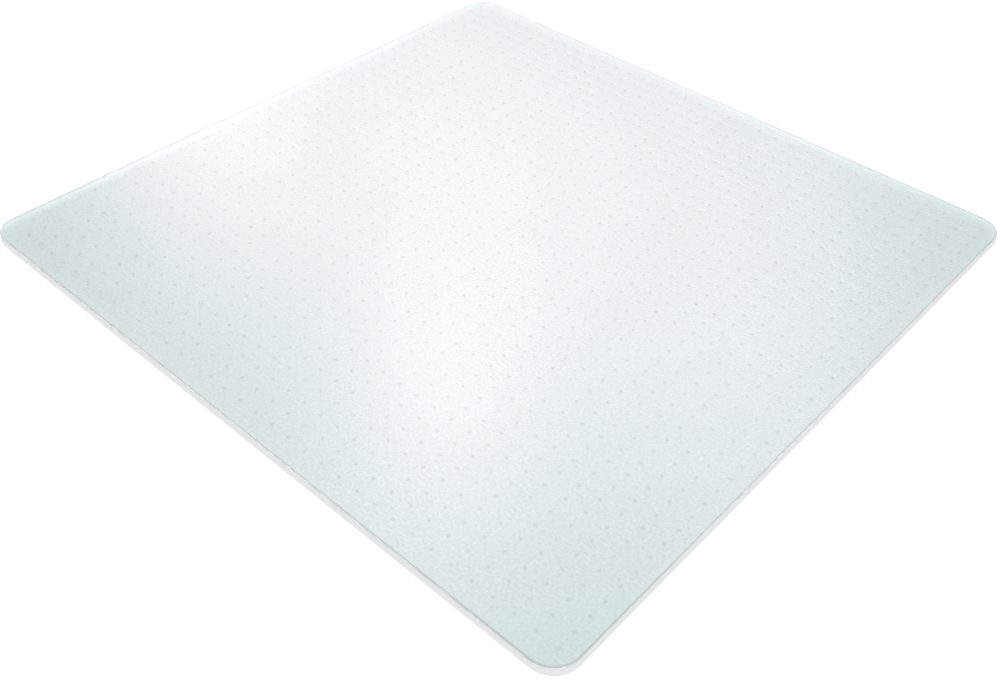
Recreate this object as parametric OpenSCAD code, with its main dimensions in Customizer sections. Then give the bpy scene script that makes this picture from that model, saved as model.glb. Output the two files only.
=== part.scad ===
// Studded chair mat: a square frosted plastic sheet with rounded corners that
// lies on carpet on an even field of tapered grip studs, one node per row.
// Origin: on the floor, at the middle of the mat. +Z up, rows of studs along X.

/* [Sheet] */
// Width of the mat, along X
mat_w = 1200; // [900:10:1500]
// Depth of the mat, along Y
mat_d = 1200; // [900:10:1500]
// Thickness of the sheet
sheet_t = 3; // [2.5:0.1:5]
// Radius of the sheet's four corners, seen from above
corner_r = 42; // [20:1:45]
// Rounding of the sheet's upper edge
top_round = 1.4; // [0.4:0.1:1.5]
// Rounding of the sheet's lower edge
bottom_round = 0.6; // [0.2:0.1:0.8]

/* [Grip studs] */
// Number of studs in each row, along X
studs_per_row = 35; // [20:1:40]
// Distance from the first and last stud of a row to the sheet's side
side_margin = 26; // [16:0.5:40]
// Distance from the first and last row to the sheet's front and back
end_margin = 34; // [16:0.5:40]
// Height of a stud below the sheet
stud_h = 9; // [4:0.5:12]
// Diameter of a stud's root, where it meets the sheet
root_d = 4.4; // [3:0.1:6]
// Diameter of a stud just above its blunt tip
tip_d = 2; // [1.2:0.1:2.8]
// Diameter of the flat end of the tip
tip_flat_d = 1.2; // [0.6:0.1:1.2]
// Height of the tip's bevel
tip_bevel_h = 0.5; // [0.2:0.1:0.8]

/* [Hidden] */
$fn = 48;
stud_rows = 39;
stud_pitch_x = (mat_w - 2 * side_margin) / (studs_per_row - 1);
stud_pitch_y = (mat_d - 2 * end_margin) / (stud_rows - 1);
straight_w = mat_w - 2 * corner_r;
straight_d = mat_d - 2 * corner_r;

function two_digits(n) = str(n < 10 ? "0" : "", n);
function row_name(row) = str("stud_row_", two_digits(row));

// Section through the sheet's rim: x runs from a corner's centre out to the
// edge, y up from the underside.
module rim_section() {
  square([corner_r - bottom_round, sheet_t / 2]);
  translate([0, bottom_round])
    square([corner_r, sheet_t - bottom_round - top_round]);
  translate([0, sheet_t / 2])
    square([corner_r - top_round, sheet_t / 2]);
  translate([corner_r - bottom_round, bottom_round])
    circle(r = bottom_round);
  translate([corner_r - top_round, sheet_t - top_round])
    circle(r = top_round);
}

// Rim along one straight side, of the given length, centred on the X axis and
// facing -Y.
module side_rim(length) {
  rotate([90, 0, 90])
    translate([0, 0, -length / 2])
      linear_extrude(height = length)
        mirror([1, 0])
          rim_section();
}

// Quarter of a round corner, about its own centre, in the +X +Y quadrant.
module corner_rim() {
  rotate_extrude(angle = 90)
    rim_section();
}

module mat_sheet() {
  color([0.86, 0.92, 0.92])
    translate([0, 0, stud_h])
      union() {
        translate([-straight_w / 2, -straight_d / 2, 0])
          cube([straight_w, straight_d, sheet_t]);
        for (side = [-1, 1]) {
          rotate([0, 0, side > 0 ? 180 : 0])
            translate([0, -straight_d / 2, 0])
              side_rim(straight_w);
          rotate([0, 0, side * 90])
            translate([0, -straight_w / 2, 0])
              side_rim(straight_d);
        }
        for (corner = [[1, 1, 0], [-1, 1, 90], [-1, -1, 180], [1, -1, 270]])
          translate([corner[0] * straight_w / 2, corner[1] * straight_d / 2, 0])
            rotate([0, 0, corner[2]])
              corner_rim();
      }
}

// One grip stud, standing on its tip at z = 0: a plain taper with a bevelled
// tip, whose root meets the underside of the sheet face to face.
module grip_stud() {
  rotate_extrude()
    polygon([
      [0, 0],
      [tip_flat_d / 2, 0],
      [tip_d / 2, tip_bevel_h],
      [root_d / 2, stud_h],
      [0, stud_h]
    ]);
}

module stud_row(row) {
  color([0.80, 0.89, 0.89])
    translate([0, (row - 1) * stud_pitch_y - mat_d / 2 + end_margin, 0])
      for (stud = [0:studs_per_row - 1])
        translate([stud * stud_pitch_x - mat_w / 2 + side_margin, 0, 0])
          grip_stud();
}

mat_sheet();
for (row = [1:stud_rows])
  stud_row(row);
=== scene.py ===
"""Studded chair mat of frosted, slightly blue-green plastic on a white studio floor."""
import math

import bmesh
import bpy
from mathutils import Matrix, Vector
from mathutils.geometry import delaunay_2d_cdt


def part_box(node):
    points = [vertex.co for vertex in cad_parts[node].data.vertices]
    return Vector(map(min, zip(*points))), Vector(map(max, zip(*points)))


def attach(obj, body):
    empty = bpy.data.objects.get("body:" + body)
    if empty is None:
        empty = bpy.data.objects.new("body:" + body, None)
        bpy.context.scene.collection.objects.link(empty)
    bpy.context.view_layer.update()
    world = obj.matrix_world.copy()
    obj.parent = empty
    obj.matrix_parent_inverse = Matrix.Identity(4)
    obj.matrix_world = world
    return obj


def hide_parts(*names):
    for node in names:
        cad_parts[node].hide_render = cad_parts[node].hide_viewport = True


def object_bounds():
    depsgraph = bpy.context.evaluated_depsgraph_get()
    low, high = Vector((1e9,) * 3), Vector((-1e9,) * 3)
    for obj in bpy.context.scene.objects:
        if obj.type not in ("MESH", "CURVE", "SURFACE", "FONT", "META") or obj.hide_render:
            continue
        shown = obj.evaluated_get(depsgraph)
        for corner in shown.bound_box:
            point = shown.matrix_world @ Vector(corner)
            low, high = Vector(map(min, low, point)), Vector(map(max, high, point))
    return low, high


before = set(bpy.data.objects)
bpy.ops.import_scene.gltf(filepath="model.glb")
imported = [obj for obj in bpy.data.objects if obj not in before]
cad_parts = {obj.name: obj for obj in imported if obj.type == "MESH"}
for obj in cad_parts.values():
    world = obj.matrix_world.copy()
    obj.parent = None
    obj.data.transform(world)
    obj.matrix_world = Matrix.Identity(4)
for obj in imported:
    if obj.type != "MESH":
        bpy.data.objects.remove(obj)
CAD_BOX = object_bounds()
SHEET_LOW, SHEET_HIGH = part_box("mat_sheet")
MM = 0.001

# ---------------------------------------------------------------- dimensions
CORNER_RADIUS = 42 * MM
TOP_ROUND = 1.4 * MM
BOTTOM_ROUND = 0.6 * MM
CORNER_STEPS = 24  # facets in each quarter-round corner
ROUND_STEPS = 6  # facets in each rounded edge of the rim

STUD_SIDES = 16
STUD_ROOT_RADIUS = 2.2 * MM
STUD_TIP_RADIUS = 1.0 * MM
ROOT_FILLET = 0.9 * MM
AIR_FILM = 0.02 * MM  # keeps a stud's root off the face it is moulded to
TIP_FLATTENING = 0.7  # height of the stud's rounded tip over its radius
ROOT_FLARE = 0.35  # share of the fillet by which the neck is narrower than the root
ARC_STEPS = 4  # facets in the tip's and the fillet's quarter rounds

EDGE_BORDER = 1.3 * MM  # flat border of the upper face, where the wall shows through; it takes the painted shade tint
DIMPLE_RADIUS = 4.2 * MM  # sink mark in the upper face, over each stud
DIMPLE_DEPTH = 0.22 * MM
DIMPLE_SIDES = 12
DIMPLE_RINGS = (1.0, 0.72, 0.4)  # shares of the radius at which its rings lie
MERGE_DISTANCE = 1e-7  # points of the upper face closer than this are one

TOP_FACES, RIM_FACES, UNDER_FACES, PAINTED_SHADE_FACES = range(4)  # the sheet's material indices

STUD_ROWS = sorted(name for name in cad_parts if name.startswith("stud_row_"))
STUDS_PER_ROW = 35


def stud_places(row_name):
    """Centres of the studs of one row, from the row's CAD box."""
    low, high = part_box(row_name)
    y = (low[1] + high[1]) / 2
    first = low[0] + STUD_ROOT_RADIUS
    last = high[0] - STUD_ROOT_RADIUS
    pitch = (last - first) / (STUDS_PER_ROW - 1)
    return [(first + pitch * n, y) for n in range(STUDS_PER_ROW)]


ROW_PLACES = {name: stud_places(name) for name in STUD_ROWS}


# ---------------------------------------------------------------- mesh helpers
def circle(x, y, height, radius, sides):
    """Points round a level circle, anticlockwise seen from above."""
    angles = [math.tau * side / sides for side in range(sides)]
    return [(x + radius * math.cos(angle), y + radius * math.sin(angle), height) for angle in angles]


def add_object(name, mesh_builder, *materials):
    """A new object with the mesh that mesh_builder makes in a bmesh. A face's
    material_index picks its material."""
    mesh = bpy.data.meshes.new(name)
    grown = bmesh.new()
    mesh_builder(grown)
    grown.normal_update()
    grown.to_mesh(mesh)
    grown.free()
    for material in materials:
        mesh.materials.append(material)
    thing = bpy.data.objects.new(name, mesh)
    bpy.context.scene.collection.objects.link(thing)
    return thing


def outline(inset):
    """The sheet's outline, moved in by inset, as points running anticlockwise."""
    half_x = SHEET_HIGH[0] - CORNER_RADIUS
    half_y = SHEET_HIGH[1] - CORNER_RADIUS
    radius = CORNER_RADIUS - inset
    points = []
    for turn, (sx, sy) in enumerate([(1, 1), (-1, 1), (-1, -1), (1, -1)]):
        for step in range(CORNER_STEPS + 1):
            angle = math.radians(90) * (turn + step / CORNER_STEPS)
            x = sx * half_x + radius * math.cos(angle)
            y = sy * half_y + radius * math.sin(angle)
            points.append((x, y))
    return points


def rim_profile():
    """(inset, height) pairs down the rim, from the upper face to the lower one.
    The first pair starts a narrow flat border, where the wall shows through; that border is painted
    darker, as painted shade."""
    steps = [(TOP_ROUND + EDGE_BORDER, SHEET_HIGH[2])]
    for step in range(ROUND_STEPS + 1):
        angle = math.radians(90) * step / ROUND_STEPS
        inset = TOP_ROUND * (1 - math.sin(angle))
        steps.append((inset, SHEET_HIGH[2] - TOP_ROUND * (1 - math.cos(angle))))
    for step in range(ROUND_STEPS + 1):
        angle = math.radians(90) * step / ROUND_STEPS
        inset = BOTTOM_ROUND * (1 - math.cos(angle))
        steps.append((inset, SHEET_LOW[2] + BOTTOM_ROUND * (1 - math.sin(angle))))
    return steps


def dimple_height(share):
    """Height of a sink mark's smooth bowl, at a share of its radius, over the flat
    face around it. It is negative."""
    return -DIMPLE_DEPTH * math.cos(math.radians(90) * share) ** 2


def build_sheet(grown):
    """The sheet: rounded rim, flat underside, and an upper face with a shallow
    sink mark over every stud."""
    top = SHEET_HIGH[2]
    profile = rim_profile()
    rings = []
    for inset, height in profile:
        rings.append([grown.verts.new((x, y, height)) for x, y in outline(inset)])
    for number, (upper, lower) in enumerate(zip(rings, rings[1:])):
        for n in range(len(upper)):
            after = (n + 1) % len(upper)
            wall = grown.faces.new((upper[n], lower[n], lower[after], upper[after]))
            # the flat border along the wall takes the painted shade tint, a painted dark line
            wall.material_index = RIM_FACES if number else PAINTED_SHADE_FACES
    underside = grown.faces.new(list(reversed(rings[-1])))
    underside.material_index = UNDER_FACES

    flat_verts = list(rings[0])
    flat_loops = [list(range(len(flat_verts)))]
    for places in ROW_PLACES.values():
        for x, y in places:
            flat_loops.append(add_dimple(grown, flat_verts, x, y, top))
    fill_between(grown, flat_verts, flat_loops)


def add_dimple(grown, flat_verts, x, y, top):
    """Adds one sink mark's bowl. Its outer ring joins flat_verts; the ring's
    places in that list come back."""
    rings = []
    for share in DIMPLE_RINGS:
        spots = circle(x, y, top + dimple_height(share), DIMPLE_RADIUS * share, DIMPLE_SIDES)
        rings.append([grown.verts.new(spot) for spot in spots])
    middle = grown.verts.new((x, y, top + dimple_height(0)))
    # the inner rings and middle of each sink mark take the painted shade tint: a painted dark dot over
    # each stud
    for number, (outer, inner) in enumerate(zip(rings, rings[1:])):
        for n in range(DIMPLE_SIDES):
            after = (n + 1) % DIMPLE_SIDES
            bowl = grown.faces.new((outer[n], outer[after], inner[after], inner[n]))
            if number > 0:
                bowl.material_index = PAINTED_SHADE_FACES
    for n in range(DIMPLE_SIDES):
        bottom = grown.faces.new((rings[-1][n], rings[-1][(n + 1) % DIMPLE_SIDES], middle))
        bottom.material_index = PAINTED_SHADE_FACES
    start = len(flat_verts)
    flat_verts.extend(rings[0])
    return list(range(start, start + DIMPLE_SIDES))


def fill_between(grown, flat_verts, loops):
    """Fills the upper face between its outline, the first loop, and the rings of
    the sink marks, the other loops."""
    flat = [Vector((v.co.x, v.co.y)) for v in flat_verts]
    edges = [(loop[n], loop[(n + 1) % len(loop)]) for loop in loops for n in range(len(loop))]
    _, _, triangles, came_from, _, _ = delaunay_2d_cdt(flat, edges, [], 1, MERGE_DISTANCE)
    holes = {}
    for number, loop in enumerate(loops[1:]):
        for index in loop:
            holes[index] = number
    for triangle in triangles:
        corners = [came_from[index][0] for index in triangle]
        inside = {holes.get(index, -1 - index) for index in corners}
        if len(inside) > 1:
            grown.faces.new([flat_verts[index] for index in corners])


def stud_profile():
    """(radius, height) pairs of a stud, from its rounded tip up to its root."""
    low = CAD_BOX[0][2]
    root = SHEET_LOW[2] - AIR_FILM
    points = []
    for step in range(1, ARC_STEPS + 1):
        angle = math.radians(90) * step / ARC_STEPS
        rise = STUD_TIP_RADIUS * (1 - math.cos(angle)) * TIP_FLATTENING
        points.append((STUD_TIP_RADIUS * math.sin(angle), low + rise))
    neck_radius = STUD_ROOT_RADIUS - ROOT_FILLET * ROOT_FLARE
    for step in range(ARC_STEPS + 1):
        angle = math.radians(90) * step / ARC_STEPS
        radius = neck_radius + ROOT_FILLET * (1 - math.cos(angle))
        points.append((radius, root - ROOT_FILLET * (1 - math.sin(angle))))
    return points


def build_studs(grown, places):
    """One row of lathe-turned studs, each a closed solid."""
    profile = stud_profile()
    for x, y in places:
        rings = []
        for radius, height in profile:
            rings.append([grown.verts.new(spot) for spot in circle(x, y, height, radius, STUD_SIDES)])
        tip = grown.verts.new((x, y, CAD_BOX[0][2]))
        for n in range(STUD_SIDES):
            after = (n + 1) % STUD_SIDES
            grown.faces.new((tip, rings[0][after], rings[0][n]))
            for lower, upper in zip(rings, rings[1:]):
                grown.faces.new((lower[n], lower[after], upper[after], upper[n]))
        cap = grown.faces.new(rings[-1])
        for edge in cap.edges:
            edge.smooth = False


# ---------------------------------------------------------------- materials
SHEET_TINT = (0.75, 0.88, 0.88)
# painted shade: a darker tint for the upper face over each stud and along the wall
PAINTED_SHADE_TINT = (0.61, 0.73, 0.73)
# painted shade: a much darker tint for the rim, for how it looks seen along the sheet
RIM_PAINTED_SHADE_TINT = (0.34, 0.45, 0.45)
STUD_TINT = (0.95, 0.985, 0.98)
PLASTIC_IOR = 1.5
PEBBLE_SIZE = 4 * MM
GRAIN_SIZE = PEBBLE_SIZE / 4
GLOSS_CHANGE = 0.03  # how far the pebbles raise and lower the roughness
PAINTED_SPARKLE_FROM, PAINTED_SPARKLE_TO = 0.35, 0.65  # the pebble pattern's range over which the painted sparkle runs from darkest to lightest


def new_material(name):
    """An empty node material, with its nodes and links."""
    material = bpy.data.materials.new(name)
    material.use_nodes = True
    nodes = material.node_tree.nodes
    nodes.clear()
    return material, nodes, material.node_tree.links


def blend_colours(nodes, links, factor, low, high):
    """A Mix node between two colours or colour sockets."""
    mix = nodes.new("ShaderNodeMix")
    mix.data_type = "RGBA"
    links.new(factor, mix.inputs["Factor"])
    for name, colour in (("A", low), ("B", high)):
        if isinstance(colour, tuple):
            mix.inputs[name].default_value = (*colour, 1)
        else:
            links.new(colour, mix.inputs[name])
    return mix.outputs["Result"]


def moulded_relief(nodes, links, pebble_depth, grain_depth):
    """Height, in metres, of a pebbled skin with a finer grain on it, and the
    pebbles alone as a 0 to 1 pattern."""
    place = nodes.new("ShaderNodeTexCoord")
    heights = []
    for size, depth in ((PEBBLE_SIZE, pebble_depth), (GRAIN_SIZE, grain_depth)):
        lumps = nodes.new("ShaderNodeTexNoise")
        lumps.inputs["Scale"].default_value = 1 / size
        lumps.inputs["Detail"].default_value = 2
        links.new(place.outputs["Object"], lumps.inputs["Vector"])
        height = nodes.new("ShaderNodeMath")
        height.operation = "MULTIPLY"
        height.inputs[1].default_value = depth
        links.new(lumps.outputs["Fac"], height.inputs[0])
        heights.append((lumps, height))
    total = nodes.new("ShaderNodeMath")
    total.operation = "ADD"
    links.new(heights[0][1].outputs["Value"], total.inputs[0])
    links.new(heights[1][1].outputs["Value"], total.inputs[1])
    return total.outputs["Value"], heights[0][0].outputs["Fac"]


def clear_plastic(name, tint, roughness, clarity, pebble_depth, grain_depth, painted_sparkle, lamp_pass):
    """Translucent plastic: a Principled shader with a moulded skin, a tint painted lighter on the
    pebble tops and darker in their hollows as painted sparkle, and a plain grey pass for lamp rays, so
    that light reaches the floor."""
    material, nodes, links = new_material(name)
    output = nodes.new("ShaderNodeOutputMaterial")
    plastic = nodes.new("ShaderNodeBsdfPrincipled")
    plastic.inputs["IOR"].default_value = PLASTIC_IOR
    plastic.inputs["Transmission Weight"].default_value = clarity

    relief, pebbles = moulded_relief(nodes, links, pebble_depth, grain_depth)
    bump = nodes.new("ShaderNodeBump")
    bump.inputs["Distance"].default_value = 1
    links.new(relief, bump.inputs["Height"])
    links.new(bump.outputs["Normal"], plastic.inputs["Normal"])

    # painted sparkle: the base colour is painted lighter on the pebble tops and darker in their
    # hollows, standing in for glints
    painted_sparkle_mask = nodes.new("ShaderNodeMapRange")
    painted_sparkle_mask.inputs["From Min"].default_value = PAINTED_SPARKLE_FROM
    painted_sparkle_mask.inputs["From Max"].default_value = PAINTED_SPARKLE_TO
    links.new(pebbles, painted_sparkle_mask.inputs["Value"])
    darker = tuple(channel * (1 - painted_sparkle) for channel in tint)
    lighter = tuple(min(channel * (1 + painted_sparkle), 1) for channel in tint)
    painted_sparkle_colour = blend_colours(nodes, links, painted_sparkle_mask.outputs["Result"], darker, lighter)
    links.new(painted_sparkle_colour, plastic.inputs["Base Color"])

    gloss = nodes.new("ShaderNodeMapRange")
    gloss.inputs["To Min"].default_value = roughness - GLOSS_CHANGE
    gloss.inputs["To Max"].default_value = roughness + GLOSS_CHANGE
    links.new(pebbles, gloss.inputs["Value"])
    links.new(gloss.outputs["Result"], plastic.inputs["Roughness"])

    lamp_rays = nodes.new("ShaderNodeLightPath")
    clear = nodes.new("ShaderNodeBsdfTransparent")
    clear.inputs["Color"].default_value = (lamp_pass, lamp_pass, lamp_pass, 1)
    blend = nodes.new("ShaderNodeMixShader")
    links.new(lamp_rays.outputs["Is Shadow Ray"], blend.inputs["Fac"])
    links.new(plastic.outputs["BSDF"], blend.inputs[1])
    links.new(clear.outputs["BSDF"], blend.inputs[2])
    links.new(blend.outputs["Shader"], output.inputs["Surface"])
    return material


def sheet_top_plastic():
    """The pebbled upper face."""
    return clear_plastic(
        "frosted_sheet_top",
        SHEET_TINT,
        roughness=0.31,
        clarity=0.93,
        pebble_depth=0.35 * MM,
        grain_depth=0.03 * MM,
        painted_sparkle=0.09,
        lamp_pass=0.84,
    )


def sheet_rim_plastic():
    """The smooth rounded wall, painted a darker tint: painted shade for how the wall looks when it is
    seen along the sheet.
    """
    return clear_plastic(
        "frosted_sheet_rim",
        RIM_PAINTED_SHADE_TINT,
        roughness=0.35,
        clarity=0.6,
        pebble_depth=0.02 * MM,
        grain_depth=0.01 * MM,
        painted_sparkle=0.02,
        lamp_pass=0.75,
    )


def sheet_underside_plastic():
    """The underside, with shallower pebbles than the top and less gloss."""
    return clear_plastic(
        "frosted_sheet_under",
        SHEET_TINT,
        roughness=0.45,
        clarity=0.93,
        pebble_depth=0.1 * MM,
        grain_depth=0.02 * MM,
        painted_sparkle=0.04,
        lamp_pass=0.84,
    )


def sheet_painted_shade_plastic():
    """The upper face over a stud and along the wall, where more plastic lies below it, painted darker:
    painted shade for the stud and the wall seen through the sheet.
    """
    return clear_plastic(
        "frosted_sheet_painted_shade",
        PAINTED_SHADE_TINT,
        roughness=0.31,
        clarity=0.93,
        pebble_depth=0.35 * MM,
        grain_depth=0.03 * MM,
        painted_sparkle=0.09,
        lamp_pass=0.84,
    )


def stud_plastic():
    """The studs, smooth as moulded."""
    return clear_plastic(
        "grip_stud_clear",
        STUD_TINT,
        roughness=0.4,
        clarity=0.5,
        pebble_depth=0.02 * MM,
        grain_depth=0.01 * MM,
        painted_sparkle=0.02,
        lamp_pass=0.93,
    )


def floor_paint():
    """Matt white paint."""
    material, nodes, links = new_material("studio_floor_white")
    output = nodes.new("ShaderNodeOutputMaterial")
    paint = nodes.new("ShaderNodeBsdfPrincipled")
    paint.inputs["Base Color"].default_value = (0.78, 0.78, 0.78, 1)
    paint.inputs["Roughness"].default_value = 0.9
    paint.inputs["Specular IOR Level"].default_value = 0.1
    links.new(paint.outputs["BSDF"], output.inputs["Surface"])
    return material


# ---------------------------------------------------------------- the mat
def add_piece(name, mesh_builder, node, slot, *materials):
    """A smooth-shaded piece that stands for a CAD node and takes the materials it is given."""
    piece = add_object(name, mesh_builder, *materials)
    piece.data.polygons.foreach_set("use_smooth", [True] * len(piece.data.polygons))
    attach(piece, "root")
    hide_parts(node)


def add_sheet():
    """The sheet, with its materials in the order of its faces' indices."""
    skins = [sheet_top_plastic(), sheet_rim_plastic(), sheet_underside_plastic(), sheet_painted_shade_plastic()]
    add_piece("mat_sheet_detailed", build_sheet, "mat_sheet", "frosted_sheet", *skins)


def add_stud_rows():
    """One piece for each row of studs."""
    clear_stud = stud_plastic()
    for row_name, places in ROW_PLACES.items():
        add_piece(
            row_name + "_turned",
            lambda grown: build_studs(grown, places),
            row_name,
            "grip_stud",
            clear_stud,
        )


# ---------------------------------------------------------------- studio
WARM_WHITE = (1, 0.76, 0.75)  # softbox light, which the tinted plastic cools again
FLOOR_SIZE = 12  # half its width
FLOOR_GAP = 0.05 * MM  # keeps the floor off the stud tips
ASKEW = math.radians(8)  # turn of the ceiling softbox about the upright
WALL_TOP, CEILING_EDGE = 0.2, 0.55  # sines of the elevations between which walls turn to ceiling

# The camera, found from the mat's four sides in the photo. Angles are in degrees.
VIEW_AZIMUTH = 41.62
VIEW_ELEVATION = 42.12
VIEW_ROLL = 1.97
VIEW_DISTANCE = 1.7078
VIEW_AIM = (0.1364, -0.2577, SHEET_HIGH[2])
FOCAL_LENGTH = 41.42  # in mm, on a sensor 36 mm wide
FRAMING_SHIFT = 0.0377


def camera_place():
    """Where the camera stands."""
    turn, lift = math.radians(VIEW_AZIMUTH), math.radians(VIEW_ELEVATION)
    back = Vector((math.sin(turn) * math.cos(lift), -math.cos(turn) * math.cos(lift), math.sin(lift)))
    return Vector(VIEW_AIM) + back * VIEW_DISTANCE


def add_floor():
    """A white floor just below the stud tips."""

    def build(grown):
        bmesh.ops.create_grid(grown, x_segments=4, y_segments=4, size=FLOOR_SIZE)

    floor = add_object("studio_floor", build, floor_paint())
    floor.location.z = CAD_BOX[0][2] - FLOOR_GAP


def direction(azimuth, elevation):
    """Unit vector that points at a spot seen from the mat: azimuth 0 is +Y, 90 is -X."""
    turn, lift = math.radians(azimuth), math.radians(elevation)
    return Vector((-math.sin(turn) * math.cos(lift), math.cos(turn) * math.cos(lift), math.sin(lift)))


def add_lamp(data, place, facing):
    """Puts a lamp in the scene, shining opposite to facing and out of the camera's sight."""
    data.cycles.use_multiple_importance_sampling = False  # all its light comes by shadow rays
    lamp = bpy.data.objects.new(data.name, data)
    lamp.location = place
    lamp.rotation_euler = facing.to_track_quat("Z", "Y").to_euler()
    lamp.visible_camera = False
    lamp.visible_transmission = False
    bpy.context.scene.collection.objects.link(lamp)
    return lamp


def add_sun(name, azimuth, elevation, spread, strength):
    """A distant lamp for the floor and its shadows, which leaves no hot spot on the mat."""
    data = bpy.data.lights.new(name, "SUN")
    data.energy = strength
    data.angle = math.radians(spread)
    lamp = add_lamp(data, Vector(), direction(azimuth, elevation))
    lamp.visible_glossy = False


def mirrored(x, y, height):
    """Where a line from the camera meets that height after the mat's upper face
    has mirrored it at (x, y)."""
    eye = camera_place()
    rise = (height - SHEET_HIGH[2]) / (eye.z - SHEET_HIGH[2])
    return Vector((x + (x - eye.x) * rise, y + (y - eye.y) * rise, height))


def add_ceiling_softbox(left, front, right, back, height, radiance):
    """A level softbox, a little askew to the mat, whose mirror image covers the mat
    between those lines."""
    low = mirrored(left, front, height)
    high = mirrored(right, back, height)
    data = bpy.data.lights.new("ceiling_softbox", "AREA")
    data.shape = "RECTANGLE"
    data.size = high.x - low.x
    data.size_y = high.y - low.y
    data.energy = radiance * math.pi * data.size * data.size_y
    data.color = WARM_WHITE
    lamp = add_lamp(data, (low + high) / 2, Vector((0, 0, 1)))
    lamp.rotation_euler = (0, 0, ASKEW)
    lamp.visible_diffuse = False


def add_mirror_softbox(name, x, y, height, width, length, radiance):
    """A softbox that faces the mat where the camera sees its mirror image at (x, y)."""
    place = mirrored(x, y, height)
    data = bpy.data.lights.new(name, "AREA")
    data.shape = "ELLIPSE"
    data.size = width
    data.size_y = length
    ellipse_area = math.pi / 4 * width * length
    data.energy = radiance * math.pi * ellipse_area
    data.color = WARM_WHITE
    lamp = add_lamp(data, place, place - Vector((x, y, SHEET_HIGH[2])))
    lamp.visible_diffuse = False


def add_world(walls, ceiling, backdrop):
    """A dim room whose lower walls shine in reflections, with a plain white
    backdrop for the camera itself."""
    world = bpy.data.worlds.new("studio_white")
    world.use_nodes = True
    nodes, links = world.node_tree.nodes, world.node_tree.links
    back = nodes["Background"]
    place = nodes.new("ShaderNodeTexCoord")
    split = nodes.new("ShaderNodeSeparateXYZ")
    links.new(place.outputs["Generated"], split.inputs["Vector"])
    height = nodes.new("ShaderNodeMapRange")
    height.interpolation_type = "SMOOTHSTEP"
    height.inputs["From Min"].default_value = WALL_TOP
    height.inputs["From Max"].default_value = CEILING_EDGE
    height.inputs["To Min"].default_value = walls
    height.inputs["To Max"].default_value = ceiling
    links.new(split.outputs["Z"], height.inputs["Value"])
    ray = nodes.new("ShaderNodeLightPath")
    room = nodes.new("ShaderNodeMix")
    room.inputs["A"].default_value = ceiling
    links.new(ray.outputs["Is Glossy Ray"], room.inputs["Factor"])
    links.new(height.outputs["Result"], room.inputs["B"])
    strength = nodes.new("ShaderNodeMix")
    strength.inputs["B"].default_value = backdrop
    links.new(ray.outputs["Is Camera Ray"], strength.inputs["Factor"])
    links.new(room.outputs["Result"], strength.inputs["A"])
    links.new(strength.outputs["Result"], back.inputs["Strength"])
    back.inputs["Color"].default_value = (1, 1, 1, 1)
    bpy.context.scene.world = world


def add_camera():
    """The camera, where the photo was taken from."""
    data = bpy.data.cameras.new("studio_camera")
    data.sensor_width = 36
    data.lens = FOCAL_LENGTH
    data.shift_x = FRAMING_SHIFT
    camera = bpy.data.objects.new("studio_camera", data)
    bpy.context.scene.collection.objects.link(camera)
    turn, lift = math.radians(VIEW_AZIMUTH), math.radians(VIEW_ELEVATION)
    upright = Matrix.Rotation(turn, 4, "Z") @ Matrix.Rotation(math.radians(90) - lift, 4, "X")
    rolled = upright @ Matrix.Rotation(math.radians(VIEW_ROLL), 4, "Z")
    camera.matrix_world = Matrix.Translation(camera_place()) @ rolled
    bpy.context.scene.camera = camera


def add_mirror_softboxes():
    """The highlights on the mat, and a fill at its right."""
    add_mirror_softbox(
        "front_highlight", x=0.245, y=-0.42, height=1.4, width=0.38, length=0.75, radiance=8.8
    )
    add_mirror_softbox(
        "left_highlight", x=-0.58, y=-0.19, height=1.1, width=0.65, length=0.45, radiance=5.0
    )
    add_mirror_softbox(
        "right_fill", x=0.56, y=-0.12, height=1.5, width=0.6, length=1.0, radiance=2.8
    )


add_sheet()
add_stud_rows()
add_floor()
add_world(walls=0.55, ceiling=0.17, backdrop=1.1)
add_sun("back_key", azimuth=48, elevation=72, spread=12, strength=4.22)
add_ceiling_softbox(left=-0.6, front=-0.39, right=0.42, back=0.6, height=1.5, radiance=1.55)
add_mirror_softboxes()
add_camera()
bpy.context.scene.view_settings.view_transform = "Standard"
# Lamp rays already pass straight through the plastic: bent ones would light the floor twice.
bpy.context.scene.cycles.caustics_refractive = False
